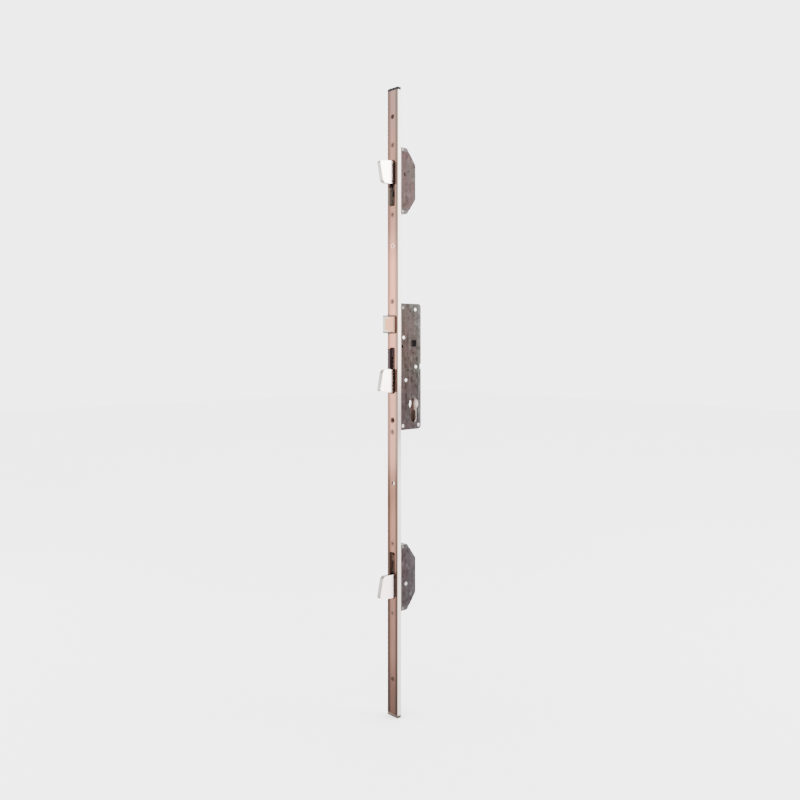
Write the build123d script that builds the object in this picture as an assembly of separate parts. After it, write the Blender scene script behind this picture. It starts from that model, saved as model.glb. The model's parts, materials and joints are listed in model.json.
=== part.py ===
from build123d import *
import os
from math import acos, cos, degrees, hypot, pi, radians, sin, tan

# Multipoint door lock, in millimetres. The origin is the spindle axis on the mid-plane of the lock.
# X runs from the faceplate into the door, Y across the door's thickness, Z up.
# The lock is shown thrown: the latch and all three hook bolts stand out of the faceplate.

# Centres
backset = 35.0
centre_distance = 88.0
latch_rise = 27.0
middle_pivot_drop = 53.0

# Faceplate, a U section open to the door
strip_above = 365.0
strip_below = 533.0
upper_unit_inset = 131.5
lower_unit_inset = 197.0
strip_width = 22.0
strip_depth = 6.5
strip_wall = 2.0
strip_bend = 1.2
cap_thickness = 4.0
cap_plug_length = 12.0
cap_clearance = 0.1

# Screw holes of the faceplate
top_hole_inset = 41.0
inner_hole_rise = 139.0
inner_hole_drop = 200.0
bottom_hole_inset = 53.0
door_hole_radius = 2.3
door_head_radius = 3.9
screw_spacer_length = 14.0
spacer_clearance = 0.1
cylinder_screw_drop = 22.0
cylinder_screw_radius = 2.7
cylinder_head_radius = 4.3
case_screw_radius = 1.95
case_screw_head_radius = 3.8
case_screw_length = 10.5
case_screw_outset = 2.2
case_screw_socket = 2.5
case_screw_socket_depth = 1.2
case_screw_bore_over = 0.5
screw_clearance = 0.2

# Cases
case_thickness = 15.0
plate = 1.5
central_depth = 49.5
central_above = 57.5
central_below = 124.5
central_corner = 5.0
unit_height = 95.0
unit_depth = 38.5
unit_nose_depth = 22.0
unit_back_height = 50.0
unit_corner = 3.0
lug_depth = 6.0
lug_height = 6.2
ear_height = 6.0
ear_sink = 0.5
notch_height = 7.0
notch_depth = 2.0
notch_drop = 33.5

# Rivets
rivet_radius = 1.8
rivet_sleeve_radius = 2.6
rivet_head_radius = 2.7
rivet_head_height = 0.8
rivet_head_round = 0.55
rivet_hole_clearance = 0.05
side_gap = 0.2
central_rivets = ((13.0, 51.0), (37.5, 49.0), (14.5, 8.3), (38.7, -34.0), (13.0, -118.5), (44.0, -118.5))
unit_rivet_depth = 13.0
unit_rivet_inset = 3.2
unit_rivet_radius = 1.6
unit_rivet_head_radius = 2.4
service_hole_place = (12.5, -4.3)
service_hole_radius = 2.0

# Spindle and cylinder
spindle_square = 8.0
spindle_clearance = 0.1
hub_radius = 7.0
collar_radius = 11.0
running_clearance = 0.05
follower_swing = 42.0
arm_length = 19.0
arm_tip_radius = 2.2
arm_neck = 3.2
arm_layer = (-3.0, 1.4)
cylinder_round_radius = 9.0
cylinder_slot_width = 11.0
cylinder_slot_drop = 20.8

# Latch
latch_height = 25.4
latch_width = 11.6
latch_throw = 13.6
latch_inside = 11.0
latch_nose = 1.6
latch_bevel_inside = 0.6
latch_edge = 0.4
latch_nose_chamfer = 1.6
latch_bevel_chamfer = 2.0
latch_opening_gap = 0.4
latch_opening_corner = 0.8
latch_stem_radius = 2.5
tail_gap = 0.6
tail_thickness = 2.6
tail_half_width = 2.6
tail_bottom_rise = 16.2
tail_top_rise = 32.0
spring_plate_depth = 28.4
spring_plate_thickness = 2.0
spring_plate_rise = (21.5, 38.0)
latch_spring_wire = 0.8
latch_spring_radius = 3.6
latch_spring_turns = 5.0
guide_rib = 1.5
guide_rib_gap = 0.6
guide_rib_depth = 26.0

# Hook bolts
hook_thickness = 7.0
hook_height = 34.0
hook_reach = 26.5
hook_heel_reach = 20.0
hook_pivot_depth = 19.0
hook_pivot_rise = 18.0
hook_boss_radius = 9.5
hook_spacer_radius = 8.0
hook_corner = 3.0
hook_heel_corner = 6.0
hook_beak_taper = 3.5
hook_root_depth = 4.0
hook_pin_radius = 4.0
hook_pin_rivet_radius = 2.2
hook_pin_head_radius = 2.7
unit_pivot_drop = 9.5
slot_width = 10.0
slot_below_hook = 1.0
slot_length = 66.0
slot_corner = 2.5

# Gearing, one module throughout
module = 1.5
hook_teeth = 12
wheel_teeth = 12
tooth_addendum = 1.0
tooth_dedendum = 1.3
tooth_backlash = 0.3
pressure_angle = 20.0
gear_layer = (3.5, 5.8)
rack_layer = (3.6, 5.7)
wheel_drop = 74.0
wheel_axle_radius = 2.5
wheel_axle_rivet_radius = 2.0
hook_swing = 90.0
rack_end = 3.6
back_rack_web = 2.2
back_rack_arm_height = 6.5
back_rack_arm_gap = 0.9

# Drive bar behind the faceplate
bar_gap = 0.2
bar_thickness = 2.5
bar_width = 17.2
bar_end_gap = 0.2
bar_upper_joint = 80.0
bar_lower_joint = -158.0
bar_past_upper_unit = 58.5
bar_past_lower_unit = 56.0
case_gap = 0.3
window_width = 8.4
window_gap = 0.6
window_corner = 1.5
latch_window_gap = 0.5
coupling_thickness = 1.5
coupling_width = 12.0
coupling_length = 24.0
coupling_rivet_radius = 2.0
coupling_rivet_inset = 6.0
coupling_head_over = 0.8
coupling_head_height = 0.5
upper_joint_to_guide = 38.0
lower_joint_to_guide = 24.0
upper_unit_to_guide = 68.5
lower_unit_to_guide = 74.0
guide_length = 12.0
guide_clearance = 0.05

# Follower spring
follower_spring_wire = 0.8
follower_spring_radius = 9.4
follower_spring_pitch = 1.25
follower_spring_full_turns = 2
follower_spring_leg = 14.5
spring_peg_radius = 1.0
spring_peg_arm = 14.5
spring_peg_height = 2.2
spring_post_drop = 13.5
spring_post_radius = 1.5
spring_seat_gap = 0.05

# Cutters run this far past the faces that they cut
overcut = 0.1
length_slack = 0.01

# Worked out from the sizes above
front = -backset
half_case = case_thickness / 2
half_inside = half_case - plate
bar_front = front + strip_wall + bar_gap
bar_back = bar_front + bar_thickness
case_front = bar_back + case_gap
upper_unit_rise = strip_above - upper_unit_inset
lower_unit_drop = strip_below - lower_unit_inset
door_hole_heights = (
    strip_above - top_hole_inset,
    inner_hole_rise,
    -inner_hole_drop,
    bottom_hole_inset - strip_below,
)
bar_top = upper_unit_rise + bar_past_upper_unit
bar_bottom = -lower_unit_drop - bar_past_lower_unit
guide_heights = (
    bar_upper_joint + upper_joint_to_guide,
    upper_unit_rise - upper_unit_to_guide,
    bar_lower_joint - lower_joint_to_guide,
    -lower_unit_drop + lower_unit_to_guide,
)
unit_back = front + unit_depth
central_back = front + central_depth
pivot_x = front + hook_pivot_depth
hook_gear_radius = module * hook_teeth / 2
wheel_radius = module * wheel_teeth / 2
bar_travel = hook_gear_radius * radians(hook_swing)
front_pitch_line = pivot_x - hook_gear_radius
back_pitch_line = pivot_x + hook_gear_radius
wheel_x = front_pitch_line + wheel_radius
tooth_pitch = pi * module
cylinder_z = -centre_distance
cylinder_screw_z = cylinder_z - cylinder_screw_drop
middle_pivot_z = -middle_pivot_drop
upper_pivot_z = upper_unit_rise + unit_pivot_drop
lower_pivot_z = -lower_unit_drop - unit_pivot_drop
central_screw_heights = (central_above + case_screw_outset, -central_below - case_screw_outset)
unit_screw_offset = unit_height / 2 + case_screw_outset
unit_rivet_offset = unit_height / 2 - unit_rivet_inset
upper_screw_heights = (upper_unit_rise + unit_screw_offset, upper_unit_rise - unit_screw_offset)
lower_screw_heights = (-lower_unit_drop + unit_screw_offset, -lower_unit_drop - unit_screw_offset)


# Shape helpers


def block(x_span, y_span, z_span):
    """A box between two planes along each axis."""
    size = [high - low for low, high in (x_span, y_span, z_span)]
    centre = [(high + low) / 2 for low, high in (x_span, y_span, z_span)]
    return Pos(*centre) * Box(*size)


def across(sketch, y_low, y_high):
    """A sketch drawn in X and Z, extruded between two Y planes."""
    return Rot(90, 0, 0) * Pos(0, 0, -y_high) * extrude(sketch, amount=y_high - y_low)


def pin(x, z, radius, y_low, y_high):
    """A cylinder across the lock."""
    return Pos(x, (y_low + y_high) / 2, z) * Rot(90, 0, 0) * Cylinder(radius, y_high - y_low)


def rod(y, z, radius, x_low, x_high):
    """A cylinder along the depth of the lock."""
    return Pos((x_low + x_high) / 2, y, z) * Rot(0, 90, 0) * Cylinder(radius, x_high - x_low)


def cone(z, front_radius, back_radius, x_low, x_high):
    """A cone along the depth of the lock."""
    return Pos((x_low + x_high) / 2, 0, z) * Rot(0, 90, 0) * Cone(front_radius, back_radius, x_high - x_low)


def rounded_slot(x_span, width, z_span, corner):
    """A slot cutter through a face, with rounded corners."""
    shape = block(x_span, (-width / 2, width / 2), z_span)
    return fillet(shape.edges().filter_by(Axis.X), corner)


def outline(points):
    """A flat face in X and Z from its corner points."""
    return make_face(Polyline(*points, close=True))


def rivet(x, z, shank_radius, sleeve_radius, head_radius):
    """A shouldered rivet that holds both side plates apart."""
    sleeve = pin(x, z, sleeve_radius, -half_inside, half_inside)
    shank = pin(x, z, shank_radius, -half_case, half_case)
    head = Pos(x, half_case, z) * Rot(-90, 0, 0) * rivet_head(head_radius)
    near_head = Pos(x, -half_case, z) * Rot(90, 0, 0) * rivet_head(head_radius)
    return sleeve + shank + head + near_head


def rivet_head(radius):
    """A low domed head that rises from its seat along Z."""
    blank = Pos(0, 0, rivet_head_height / 2) * Cylinder(radius, rivet_head_height)
    rim = blank.edges().group_by(Axis.Z)[-1]
    return fillet(rim, rivet_head_round)


# Gear teeth


def involute(angle):
    return tan(angle) - angle


def gear_face(teeth, phase):
    """A spur gear's outline about the origin, with one tooth centred on the angle phase, in degrees."""
    pitch_radius = module * teeth / 2
    base_radius = pitch_radius * cos(radians(pressure_angle))
    tip_radius = pitch_radius + tooth_addendum
    root_radius = pitch_radius - tooth_dedendum
    half_tooth = (tooth_pitch - tooth_backlash) / 4 / pitch_radius
    at_base = half_tooth + involute(radians(pressure_angle))

    def half_angle(radius):
        if radius <= base_radius:
            return at_base
        return at_base - involute(acos(base_radius / radius))

    def place(radius, angle):
        return (radius * cos(angle), radius * sin(angle))

    middle_radius = (base_radius + tip_radius) / 2
    edges = []
    step = 2 * pi / teeth
    for tooth in range(teeth):
        centre = radians(phase) + tooth * step
        low = [place(r, centre - half_angle(r)) for r in (root_radius, base_radius, middle_radius, tip_radius)]
        high = [place(r, centre + half_angle(r)) for r in (tip_radius, middle_radius, base_radius, root_radius)]
        next_root = place(root_radius, centre + step - half_angle(root_radius))
        edges.append(Line(low[0], low[1]))
        edges.append(ThreePointArc(low[1], low[2], low[3]))
        edges.append(ThreePointArc(low[3], place(tip_radius, centre), high[0]))
        edges.append(ThreePointArc(high[0], high[1], high[2]))
        edges.append(Line(high[2], high[3]))
        edges.append(ThreePointArc(high[3], place(root_radius, centre + step / 2), next_root))
    return make_face(Wire(edges))


def rack_face(pitch_line, back, z_span, space_z, facing):
    """A rack's outline in X and Z: facing is 1 for teeth towards +X and -1 for teeth towards -X."""
    tip = pitch_line + facing * tooth_addendum
    root = pitch_line - facing * tooth_dedendum
    lean = tan(radians(pressure_angle))
    half_pitch_tooth = (tooth_pitch - tooth_backlash) / 4
    half_tip = half_pitch_tooth - tooth_addendum * lean
    half_root = half_pitch_tooth + tooth_dedendum * lean
    body = outline([(back, z_span[0]), (root, z_span[0]), (root, z_span[1]), (back, z_span[1])])
    first = int((z_span[0] - space_z) // tooth_pitch)
    last = int((z_span[1] - space_z) // tooth_pitch) + 1
    for index in range(first, last + 1):
        middle = space_z + (index + 0.5) * tooth_pitch
        if middle - half_root < z_span[0] or middle + half_root > z_span[1]:
            continue
        tooth = outline(
            [
                (root - facing * 0.1, middle - half_root),
                (tip, middle - half_tip),
                (tip, middle + half_tip),
                (root - facing * 0.1, middle + half_root),
            ]
        )
        body = body + tooth
    return body


# Faceplate and its end caps


def screw_cutter(z, shank_radius, head_radius):
    """A countersunk hole through the faceplate."""
    sink = head_radius - shank_radius
    hole = rod(0, z, shank_radius, front - 1, front + strip_wall + 1)
    return hole + cone(z, head_radius + overcut, shank_radius, front - overcut, front + sink)


def slot_span(pivot_z, upright):
    """The Z span of a hook slot. An upright hook has its beak up."""
    low = hook_pivot_rise + slot_below_hook
    if upright:
        return (pivot_z + low - slot_length, pivot_z + low)
    return (pivot_z - low, pivot_z - low + slot_length)


def make_faceplate():
    z_span = (-strip_below + cap_thickness, strip_above - cap_thickness)
    half = strip_width / 2
    channel = block((front, front + strip_depth), (-half, half), z_span)
    corners = channel.edges().filter_by(Axis.Z).group_by(Axis.X)[0]
    channel = fillet(corners, strip_bend)
    channel -= block(
        (front + strip_wall, front + strip_depth + 1),
        (strip_wall - half, half - strip_wall),
        (z_span[0] - 1, z_span[1] + 1),
    )
    through = (front - 1, front + strip_wall + 1)
    latch_half = latch_height / 2 + latch_opening_gap
    latch_span = (latch_rise - latch_half, latch_rise + latch_half)
    channel -= rounded_slot(through, latch_width + 2 * latch_opening_gap, latch_span, latch_opening_corner)
    for pivot_z, upright in hook_places:
        channel -= rounded_slot(through, slot_width, slot_span(pivot_z, upright), slot_corner)
    for z in door_hole_heights:
        channel -= screw_cutter(z, door_hole_radius, door_head_radius)
    for z in central_screw_heights + upper_screw_heights + lower_screw_heights:
        channel -= screw_cutter(z, case_screw_radius + screw_clearance, case_screw_head_radius + screw_clearance)
    channel -= screw_cutter(cylinder_screw_z, cylinder_screw_radius, cylinder_head_radius)
    return channel


def make_end_cap(end_z, inward):
    """A plastic cap over one end of the faceplate; inward is the Z direction into the channel."""
    half = strip_width / 2
    inner = end_z + inward * cap_thickness
    tip = inner + inward * cap_plug_length
    head = block((front, front + strip_depth), (-half, half), sorted((end_z, inner)))
    corners = head.edges().filter_by(Axis.Z).group_by(Axis.X)[0]
    head = fillet(corners, strip_bend)
    plug_half = half - strip_wall - cap_clearance
    plug_front = front + strip_wall + cap_clearance
    return head + block((plug_front, front + strip_depth), (-plug_half, plug_half), sorted((inner, tip)))


def make_screw_spacers():
    """Blocks in the channel behind the two outermost door screws."""
    half = strip_width / 2 - strip_wall - spacer_clearance
    depth = (front + strip_wall, front + strip_depth)
    spacers = []
    for z in (door_hole_heights[0], door_hole_heights[-1]):
        z_span = (z - screw_spacer_length / 2, z + screw_spacer_length / 2)
        hole = rod(0, z, door_hole_radius, depth[0] - 1, depth[1] + 1)
        spacers.append(block(depth, (-half, half), z_span) - hole)
    return spacers


# Cases


def tray(shape, wall_shape, y_low, y_high):
    """The side plate of a case with its walls standing up from it."""
    return across(shape, y_low, y_high) - across(wall_shape, y_low - 1, y_high - plate)


def cavity(shape, z_low, z_high, end_wall):
    """The open inside of a case, which runs out at the front between its two end walls."""
    inside = offset(shape, -plate)
    middle = (z_low + z_high) / 2
    height = z_high - z_low - 2 * end_wall
    between = Pos(0, middle) * Rectangle(4 * strip_width + 4 * central_depth, height)
    mouth = Pos(case_front, middle) * Rectangle(4 * plate, height)
    return (inside & between) + mouth


def screw_lugs(z_low, z_high):
    """The lugs past both ends of a case that its fixing screws go into."""
    lugs = Part()
    for z_span in ((z_low - lug_height, z_low + plate / 2), (z_high - plate / 2, z_high + lug_height)):
        lugs += block((case_front, case_front + lug_depth), (-half_inside, half_inside), z_span)
    return lugs


def screw_bores(z_values):
    holes = Part()
    for z in z_values:
        end = front + case_screw_length + case_screw_bore_over
        holes += rod(0, z, case_screw_radius + rivet_hole_clearance, case_front - 1, end)
    return holes


def central_shape():
    points = [
        (case_front, -central_below),
        (central_back, -central_below),
        (central_back, central_above),
        (case_front, central_above),
    ]
    face = outline(points)
    rear = face.vertices().group_by(Axis.X)[-1]
    return fillet(rear, central_corner)


def unit_shape(centre_z):
    half = unit_height / 2
    back_half = unit_back_height / 2
    nose_x = front + unit_nose_depth
    points = [
        (case_front, centre_z - half),
        (nose_x, centre_z - half),
        (unit_back, centre_z - back_half),
        (unit_back, centre_z + back_half),
        (nose_x, centre_z + half),
        (case_front, centre_z + half),
    ]
    face = outline(points)
    corners = face.vertices().group_by(Axis.X)
    return fillet(corners[1] + corners[2], unit_corner)


def cylinder_passage():
    """The euro-profile hole for the cylinder."""
    round_part = Pos(0, cylinder_z) * Circle(cylinder_round_radius)
    foot_z = cylinder_z - cylinder_slot_drop
    slot = Pos(0, (cylinder_z + foot_z) / 2) * Rectangle(cylinder_slot_width, cylinder_slot_drop)
    foot = Pos(0, foot_z) * Circle(cylinder_slot_width / 2)
    return round_part + slot + foot


def central_openings():
    """The holes that run through both side plates of the central case."""
    reach = half_case + 1
    holes = across(cylinder_passage(), -reach, reach)
    holes += pin(0, 0, hub_radius + running_clearance, -reach, reach)
    for depth, z in central_rivets:
        holes += pin(front + depth, z, rivet_radius + rivet_hole_clearance, -reach, reach)
    holes += pin(pivot_x, middle_pivot_z, hook_pin_rivet_radius + rivet_hole_clearance, -reach, reach)
    holes += pin(wheel_x, -wheel_drop, wheel_axle_rivet_radius + rivet_hole_clearance, -reach, reach)
    notch_z = (-notch_drop - notch_height / 2, -notch_drop + notch_height / 2)
    holes += block((central_back - notch_depth, central_back + 1), (-reach, reach), notch_z)
    return holes


def make_central_body():
    shape = central_shape()
    body = tray(shape, cavity(shape, -central_below, central_above, plate), -half_inside, half_case)
    body += screw_lugs(-central_below, central_above)
    rib_x = (case_front, front + guide_rib_depth)
    latch_half = latch_height / 2 + guide_rib_gap
    for side in (1, -1):
        inner = latch_rise + side * latch_half
        body += block(rib_x, (-half_inside, half_inside), sorted((inner, inner + side * guide_rib)))
    body += pin(spring_post_x(), -spring_post_drop, spring_post_radius, -half_inside, half_inside)
    return body - central_openings() - screw_bores(central_screw_heights)


def make_central_cover():
    cover = across(central_shape(), -half_case, -half_inside) - central_openings()
    hole_x, hole_z = service_hole_place
    return cover - pin(front + hole_x, hole_z, service_hole_radius, -half_case - 1, -half_inside + 1)


def unit_openings(centre_z, pivot_z):
    reach = half_case + 1
    holes = pin(pivot_x, pivot_z, hook_pin_rivet_radius + rivet_hole_clearance, -reach, reach)
    for offset_z in (unit_rivet_offset, -unit_rivet_offset):
        x = front + unit_rivet_depth
        holes += pin(x, centre_z + offset_z, unit_rivet_radius + rivet_hole_clearance, -reach, reach)
    return holes


def unit_ears(centre_z):
    """The solid ends of an auxiliary case, which its cover leaves bare."""
    half = unit_height / 2
    middle = Pos(0, centre_z) * Rectangle(4 * strip_width + 4 * unit_depth, 2 * (half - ear_height))
    return across(unit_shape(centre_z) - middle, ear_sink - half_case, half_inside)


def make_unit_body(centre_z, pivot_z, screw_heights):
    shape = unit_shape(centre_z)
    half = unit_height / 2
    body = tray(shape, cavity(shape, centre_z - half, centre_z + half, ear_height), -half_inside, half_case)
    body += unit_ears(centre_z)
    body += screw_lugs(centre_z - half, centre_z + half)
    return body - unit_openings(centre_z, pivot_z) - screw_bores(screw_heights)


def make_unit_cover(centre_z, pivot_z):
    half = unit_height / 2 - ear_height - side_gap
    middle = Pos(0, centre_z) * Rectangle(4 * strip_width + 4 * unit_depth, 2 * half)
    cover = across(unit_shape(centre_z) & middle, -half_case, -half_inside)
    return cover - pin(pivot_x, pivot_z, hook_pin_rivet_radius + rivet_hole_clearance, -half_case - 1, 0)


def make_central_rivets():
    return [
        rivet(front + depth, z, rivet_radius, rivet_sleeve_radius, rivet_head_radius)
        for depth, z in central_rivets
    ]


def make_unit_rivets(centre_z):
    x = front + unit_rivet_depth
    near = ear_sink - half_case
    rivets = []
    for z in (centre_z + unit_rivet_offset, centre_z - unit_rivet_offset):
        far_head = Pos(x, half_case, z) * Rot(-90, 0, 0) * rivet_head(unit_rivet_head_radius)
        near_head = Pos(x, near, z) * Rot(90, 0, 0) * rivet_head(unit_rivet_head_radius)
        rivets.append(pin(x, z, unit_rivet_radius, near, half_case) + far_head + near_head)
    return rivets


def make_case_screw(z):
    sink = case_screw_head_radius - case_screw_radius
    head = cone(z, case_screw_head_radius, case_screw_radius, front, front + sink)
    shank = rod(0, z, case_screw_radius, front + sink / 2, front + case_screw_length)
    recess = extrude(RegularPolygon(case_screw_socket / 2, 6), amount=case_screw_socket_depth)
    return head + shank - Pos(front, 0, z) * Rot(0, 90, 0) * recess


# Hook bolts


def hook_face():
    """A hook bolt with its beak down, drawn about its pivot."""
    low = -hook_pivot_rise
    high = hook_height - hook_pivot_rise
    tip = -hook_pivot_depth - hook_reach
    heel = -hook_pivot_depth - hook_heel_reach
    root = hook_root_depth - hook_pivot_depth
    boss = hook_boss_radius
    blade = outline(
        [
            (tip, low + hook_beak_taper),
            (root, low),
            (-boss, -boss),
            (0, -boss),
            (boss, 0),
            (-boss / 2, high),
            (heel, high),
        ]
    )
    corners = blade.vertices().sort_by(Axis.X)
    blade = fillet(corners[0], hook_corner)
    corners = blade.vertices().filter_by_position(Axis.Y, high - overcut, high + overcut).sort_by(Axis.X)
    blade = fillet(corners[0], hook_heel_corner)
    return blade + Circle(hook_boss_radius)


def make_hook(pivot_z, upright):
    half = hook_thickness / 2
    hook = across(hook_face(), -half, half)
    hook += pin(0, 0, hook_spacer_radius, side_gap - half_inside, -half)
    hook -= pin(0, 0, hook_pin_radius + running_clearance, -half_case, half_case)
    if upright:
        hook = mirror(hook, about=Plane.XY)
    return Pos(pivot_x, 0, pivot_z) * hook


def make_hook_gear(pivot_z):
    gear = across(gear_face(hook_teeth, 0.0), *gear_layer)
    gear -= pin(0, 0, hook_pin_radius + running_clearance, -half_case, half_case)
    return Pos(pivot_x, 0, pivot_z) * gear


def make_hook_pin(pivot_z):
    return rivet(pivot_x, pivot_z, hook_pin_rivet_radius, hook_pin_radius, hook_pin_head_radius)


# Drive wheel, racks and drive bar


def wheel_phase():
    """The turn that puts the wheel in mesh with the rack that also drives the middle hook."""
    spaces_down = round((wheel_drop - middle_pivot_drop) / tooth_pitch)
    nearest_space = middle_pivot_z - spaces_down * tooth_pitch
    rise = nearest_space + wheel_drop
    return 180.0 - degrees(rise / wheel_radius)


def make_drive_wheel():
    wheel = across(gear_face(wheel_teeth, wheel_phase()), side_gap - half_inside, half_inside - side_gap)
    wheel -= pin(0, 0, wheel_axle_radius + running_clearance, -half_case, half_case)
    return Pos(wheel_x, 0, -wheel_drop) * wheel


def make_wheel_axle():
    """A shouldered axle whose ends are flush with the side plates."""
    sleeve = pin(wheel_x, -wheel_drop, wheel_axle_radius, -half_inside, half_inside)
    return sleeve + pin(wheel_x, -wheel_drop, wheel_axle_rivet_radius, -half_case, half_case)


def make_central_rack():
    span = (-wheel_drop - bar_travel - rack_end, middle_pivot_z + rack_end)
    return across(rack_face(front_pitch_line, bar_back, span, middle_pivot_z, 1), *rack_layer)


def make_lower_rack():
    span = (lower_pivot_z - bar_travel - rack_end, lower_pivot_z + rack_end)
    return across(rack_face(front_pitch_line, bar_back, span, lower_pivot_z, 1), *rack_layer)


def make_upper_rack():
    """The upper hook turns the other way, so its rack reaches round behind the gear."""
    back = back_pitch_line + tooth_dedendum + back_rack_web
    gear_bottom = upper_pivot_z - hook_gear_radius - tooth_addendum
    arm_high = gear_bottom - bar_travel - back_rack_arm_gap
    arm_low = arm_high - back_rack_arm_height
    face = rack_face(back_pitch_line, back, (arm_high, upper_pivot_z + rack_end), upper_pivot_z, -1)
    arm = outline([(bar_back, arm_low), (back, arm_low), (back, arm_high), (bar_back, arm_high)])
    return across(face + arm, *rack_layer)


def bar_blank(z_low, z_high):
    half = bar_width / 2
    return block((bar_front, bar_back), (-half, half), (z_low, z_high))


def bar_slot(z, radius):
    """A long slot that lets a fixed screw stand through the moving bar."""
    width = 2 * (radius + 2 * bar_gap)
    span = (z - bar_travel - radius - window_gap, z + radius + window_gap)
    return rounded_slot((bar_front - 1, bar_back + 1), width, span, width / 2 - 0.05)


def hook_window(pivot_z, upright):
    """The window through which a hook bolt swings while the bar slides up."""
    if upright:
        blade_low = pivot_z - hook_pivot_depth - hook_reach
        span = (blade_low - bar_travel - window_gap, pivot_z + hook_pivot_rise + window_gap)
    else:
        span = (pivot_z - hook_pivot_rise - bar_travel - window_gap, pivot_z + hook_height + window_gap)
    return rounded_slot((bar_front - 1, bar_back + 1), window_width, span, window_corner)


def make_central_slide():
    bar = bar_blank(bar_lower_joint + bar_end_gap / 2, bar_upper_joint - bar_end_gap / 2)
    latch_half = latch_height / 2 + window_gap
    latch_span = (latch_rise - latch_half - bar_travel, latch_rise + latch_half)
    bar -= rounded_slot((bar_front - 1, bar_back + 1), latch_width + 2 * latch_window_gap, latch_span, window_corner)
    bar -= hook_window(middle_pivot_z, False)
    for z in central_screw_heights:
        bar -= bar_slot(z, case_screw_radius)
    bar -= bar_slot(cylinder_screw_z, cylinder_screw_radius)
    return bar - coupling_holes()


def make_upper_bar():
    bar = bar_blank(bar_upper_joint + bar_end_gap / 2, bar_top)
    bar -= hook_window(upper_pivot_z, True)
    for z in upper_screw_heights:
        bar -= bar_slot(z, case_screw_radius)
    bar -= bar_slot(door_hole_heights[1], door_hole_radius)
    return bar - coupling_holes()


def make_lower_bar():
    bar = bar_blank(bar_bottom, bar_lower_joint - bar_end_gap / 2)
    bar -= hook_window(lower_pivot_z, False)
    for z in lower_screw_heights:
        bar -= bar_slot(z, case_screw_radius)
    bar -= bar_slot(door_hole_heights[2], door_hole_radius)
    return bar - coupling_holes()


def coupling_rivet_places():
    near = coupling_rivet_inset
    far = coupling_length / 2 - coupling_rivet_inset / 2
    return [
        (y, joint + side * distance)
        for joint in (bar_upper_joint, bar_lower_joint)
        for side in (1, -1)
        for y, distance in ((-coupling_width / 4, near), (coupling_width / 4, far))
    ]


def coupling_holes():
    holes = Part()
    for y, z in coupling_rivet_places():
        holes += rod(y, z, coupling_rivet_radius + rivet_hole_clearance, bar_front - 1, bar_back + 5)
    return holes


def make_couplings():
    half = coupling_width / 2
    plates = []
    for joint in (bar_upper_joint, bar_lower_joint):
        z_span = (joint - coupling_length / 2, joint + coupling_length / 2)
        plates.append(block((bar_back, bar_back + coupling_thickness), (-half, half), z_span) - coupling_holes())
    return plates


def make_coupling_rivets():
    end = bar_back + coupling_thickness
    rivets = []
    for y, z in coupling_rivet_places():
        shank = rod(y, z, coupling_rivet_radius, bar_front, end)
        rivets.append(shank + rod(y, z, coupling_rivet_radius + coupling_head_over, end, end + coupling_head_height))
    return rivets


def make_bar_guides():
    half = strip_width / 2 - strip_wall - guide_clearance
    guides = []
    for z in guide_heights:
        z_span = (z - guide_length / 2, z + guide_length / 2)
        guides.append(block((bar_back + bar_gap, front + strip_depth), (-half, half), z_span))
    return guides


# Latch


def make_latch_head():
    nose = front - latch_throw
    half = latch_width / 2
    inside = front + latch_inside
    points = [
        (nose, half),
        (nose, half - latch_nose),
        (front - latch_bevel_inside, -half),
        (inside, -half),
        (inside, half),
    ]
    head = extrude(make_face(Polyline(*points, close=True)), amount=latch_height)
    head = Pos(0, 0, latch_rise - latch_height / 2) * head
    bevel_rise = latch_width - latch_nose
    bevel_length = hypot(latch_throw - latch_bevel_inside, bevel_rise)
    sloping = head.edges().filter_by(lambda edge: abs(edge.length - bevel_length) < length_slack)
    head = chamfer(sloping, latch_bevel_chamfer)
    head = chamfer(head.edges().filter_by(Axis.Y).group_by(Axis.X)[0], latch_nose_chamfer)
    return chamfer(head.edges().filter_by(Axis.Z).group_by(Axis.X)[0], latch_edge)


def tail_front():
    tip_x = -arm_length * sin(radians(follower_swing / 2))
    return tip_x + arm_tip_radius + tail_gap


def make_latch_stem():
    start = front + latch_inside
    tail_x = (tail_front(), tail_front() + tail_thickness)
    stem = rod(0, latch_rise, latch_stem_radius, start, tail_x[0])
    half = tail_half_width
    return stem + block(tail_x, (-half, half), (tail_bottom_rise, tail_top_rise))


def make_spring_plate():
    x = front + spring_plate_depth
    wall = block((x, x + spring_plate_thickness), (-half_inside, half_inside), spring_plate_rise)
    return wall - rod(0, latch_rise, latch_stem_radius + running_clearance * 2, x - 1, x + spring_plate_thickness + 1)


def coil(radius, wire, turns, length):
    """A round wire wound along Z from the origin."""
    path = Helix(pitch=length / turns, height=length, radius=radius)
    section = Plane(origin=path @ 0, z_dir=path % 0) * Circle(wire / 2)
    return sweep(section, path=path)


def coil_gap(radius, wire, turns, length):
    """The least gap between the turns of a coil, measured on points along it."""
    steps = 48
    path = Helix(pitch=length / turns, height=length, radius=radius)
    points = [path @ (n / (steps * turns)) for n in range(int(steps * turns) + 1)]
    apart = [(points[i] - points[j]).length for i in range(len(points)) for j in range(i + steps // 2, len(points))]
    return min(apart) - wire


def make_latch_spring():
    start = front + latch_inside + latch_spring_wire / 2 + 0.05
    end = front + spring_plate_depth - latch_spring_wire / 2 - 0.05
    spring = coil(latch_spring_radius, latch_spring_wire, latch_spring_turns, end - start)
    gap = coil_gap(latch_spring_radius, latch_spring_wire, latch_spring_turns, end - start)
    print(f"latch_spring least gap {gap:.2f} mm")
    return Pos(start, 0, latch_rise) * Rot(0, 90, 0) * spring


# Follower


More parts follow.
